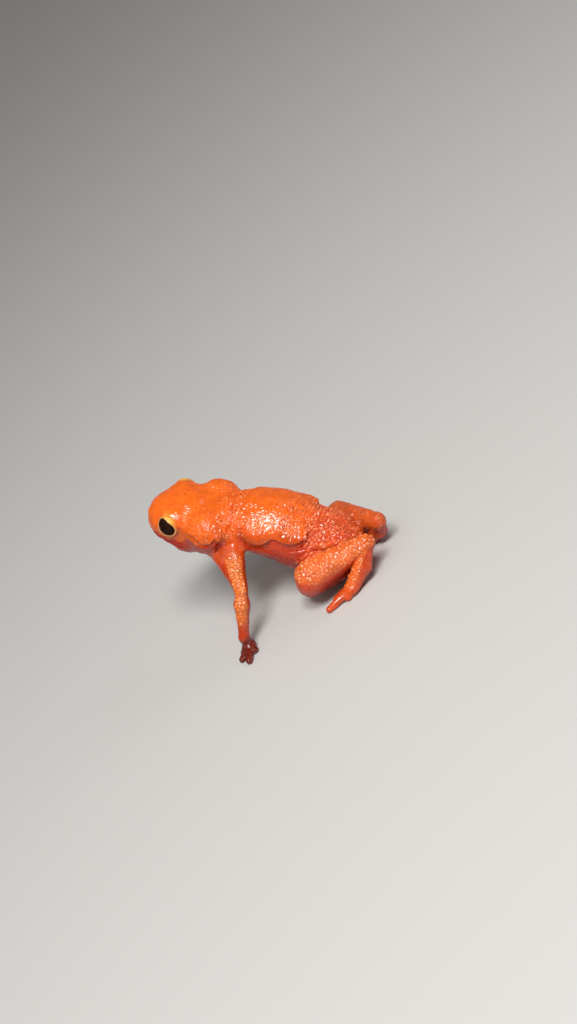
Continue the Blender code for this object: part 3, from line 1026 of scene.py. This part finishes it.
# Eyes, and fitting the pieces to the solids

def eye_ball(name, side, material):
    mesh = bmesh.new()
    place = Matrix.Translation(Vector(eye_centre(side)))
    bmesh.ops.create_uvsphere(mesh, u_segments=64, v_segments=32, radius=EYE_RADIUS, matrix=place)
    ball = new_object("eyeball_" + name, mesh)
    ball.data.shade_smooth()
    ball.data.materials.append(material)
    return ball


# The solids were moved so that their box stands on the origin, and the eyes show by how much.
eye_low, eye_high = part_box("eye_left")
SHIFT = (eye_low + eye_high) / 2 - Vector(eye_centre(1)) * METRES
PLACE = Matrix.Translation(SHIFT) @ Matrix.Scale(METRES, 4)


def put(thing, slot, *nodes):
    """Moves a finished piece onto the solids that it stands for."""
    thing.data.transform(PLACE)
    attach(thing, "root")
    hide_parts(*nodes)


# Floor, light and camera

def floor():
    mesh = bmesh.new()
    bmesh.ops.create_grid(mesh, x_segments=1, y_segments=1, size=FLOOR_HALF_WIDTH)
    ground = new_object("floor", mesh)
    ground.data.materials.append(new_material("pale_floor", {
        "Base Color": FLOOR_TONE,
        "Roughness": FLOOR_ROUGHNESS,
    }))


def disk_lamp(name, way, distance, size, power):
    light = bpy.data.lights.new(name, "AREA")
    light.shape = "DISK"
    light.size = size
    light.energy = power
    lamp = link(bpy.data.objects.new(name, light))
    lamp.location = LAMP_TARGET + Vector(unit(np.array(way))) * distance
    lamp.rotation_mode = "QUATERNION"
    lamp.rotation_quaternion = (LAMP_TARGET - lamp.location).to_track_quat("-Z", "Y")


def fill_light():
    sun = bpy.data.lights.new("fill", "SUN")
    sun.energy = FILL_POWER
    sun.angle = math.radians(FILL_SPREAD)
    lamp = link(bpy.data.objects.new("fill", sun))
    lamp.rotation_euler = [math.radians(turn) for turn in FILL_TURN]


def sky():
    world = bpy.context.scene.world or bpy.data.worlds.new("studio")
    bpy.context.scene.world = world
    world.use_nodes = True
    background = world.node_tree.nodes["Background"]
    background.inputs["Color"].default_value = SKY_TONE
    background.inputs["Strength"].default_value = SKY_POWER


def photo_camera():
    """The camera behind and above the toadlet's left side, as the photograph has it."""
    rise, turn = math.radians(CAMERA_RISE), math.radians(CAMERA_TURN)
    right = pitched(-math.cos(turn), -math.sin(turn), 0)
    away = pitched(math.sin(turn), -math.cos(turn), 0)
    overhead = pitched(0, 0, 1)
    up = math.cos(rise) * overhead + math.sin(rise) * away
    back = math.sin(rise) * overhead - math.cos(rise) * away
    middle = np.array((0, 0, TRUNK_HEIGHT))
    place = middle + CAMERA_DISTANCE * back
    aim = middle + (MIDDLE_RIGHT * right + MIDDLE_UP * up) / PIXELS_PER_MM
    look = Vector(aim - place).normalized()
    side = look.cross(Vector(up)).normalized()
    top = side.cross(look)
    data = bpy.data.cameras.new("photo_camera")
    data.sensor_width = SENSOR
    data.lens = SENSOR * CAMERA_DISTANCE * PIXELS_PER_MM / PHOTO_HEIGHT
    data.clip_start, data.clip_end = 0.005, 5
    camera = link(bpy.data.objects.new("photo_camera", data))
    turned = Matrix((side, top, -look)).transposed().to_4x4()
    camera.matrix_world = Matrix.Translation(Vector(place) * METRES + SHIFT) @ turned
    bpy.context.scene.camera = camera


def main():
    forms = all_forms()
    skin = bare_skin(forms)
    dress(skin, forms)
    skin.data.shade_smooth()
    skin.data.materials.append(skin_material())
    put(skin, "skin", *FLESH)
    dark = eye_material()
    for name, side in SIDES:
        put(eye_ball(name, side, dark), "eye", "eye_" + name)
    floor()
    for lamp in LAMPS:
        disk_lamp(*lamp)
    fill_light()
    sky()
    bpy.context.scene.view_settings.view_transform = "Standard"
    photo_camera()


main()
